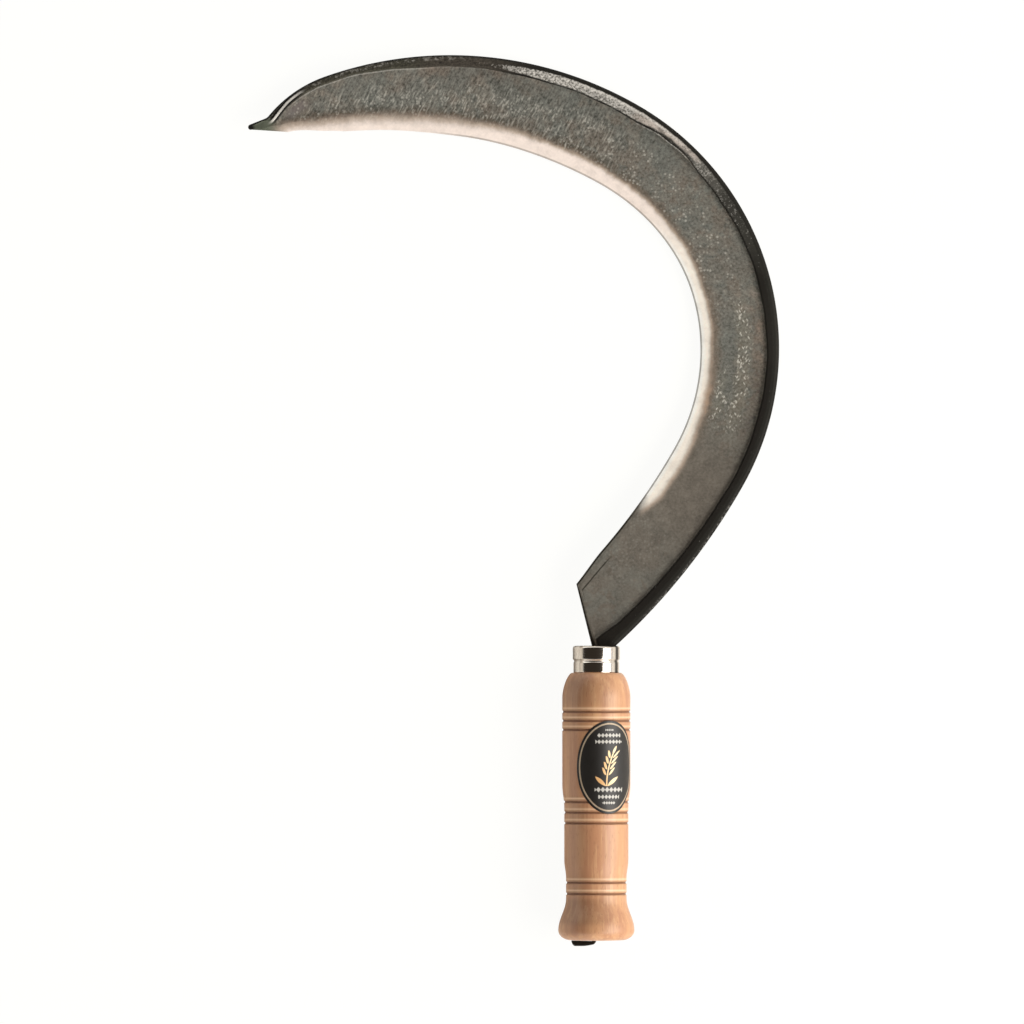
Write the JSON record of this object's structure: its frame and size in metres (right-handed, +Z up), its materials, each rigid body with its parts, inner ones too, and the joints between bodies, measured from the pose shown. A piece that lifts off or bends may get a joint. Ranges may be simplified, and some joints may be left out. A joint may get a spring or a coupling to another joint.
{
  "type": "sickle",
  "caption": "Hand sickle: forged crescent blade with a rib along its back and a small beak, driven through a turned wooden handle with a plated ferrule.",
  "frame": {"origin": "on the handle's axis, half way along the wooden handle", "axes": "+Y along the handle towards the blade, +X towards the back of the blade, +Z up from the surface that the sickle lies on, through the face that carries the rib, the ground bevel and the label"},
  "size_m": [0.2654, 0.4453, 0.0381],
  "materials": {
    "blade_steel": "forged, scaled and hammered, with a ground edge",
    "turned_wood": "turned beech, thinly varnished",
    "plated_ferrule": "bright nickel plate",
    "foil_label": "black foil with a pale metallic rim"
  },
  "bodies": {
    "root": {"blade": "blade_steel", "handle": "turned_wood", "ferrule": "plated_ferrule", "label": "foil_label"}
  },
  "joints": []
}
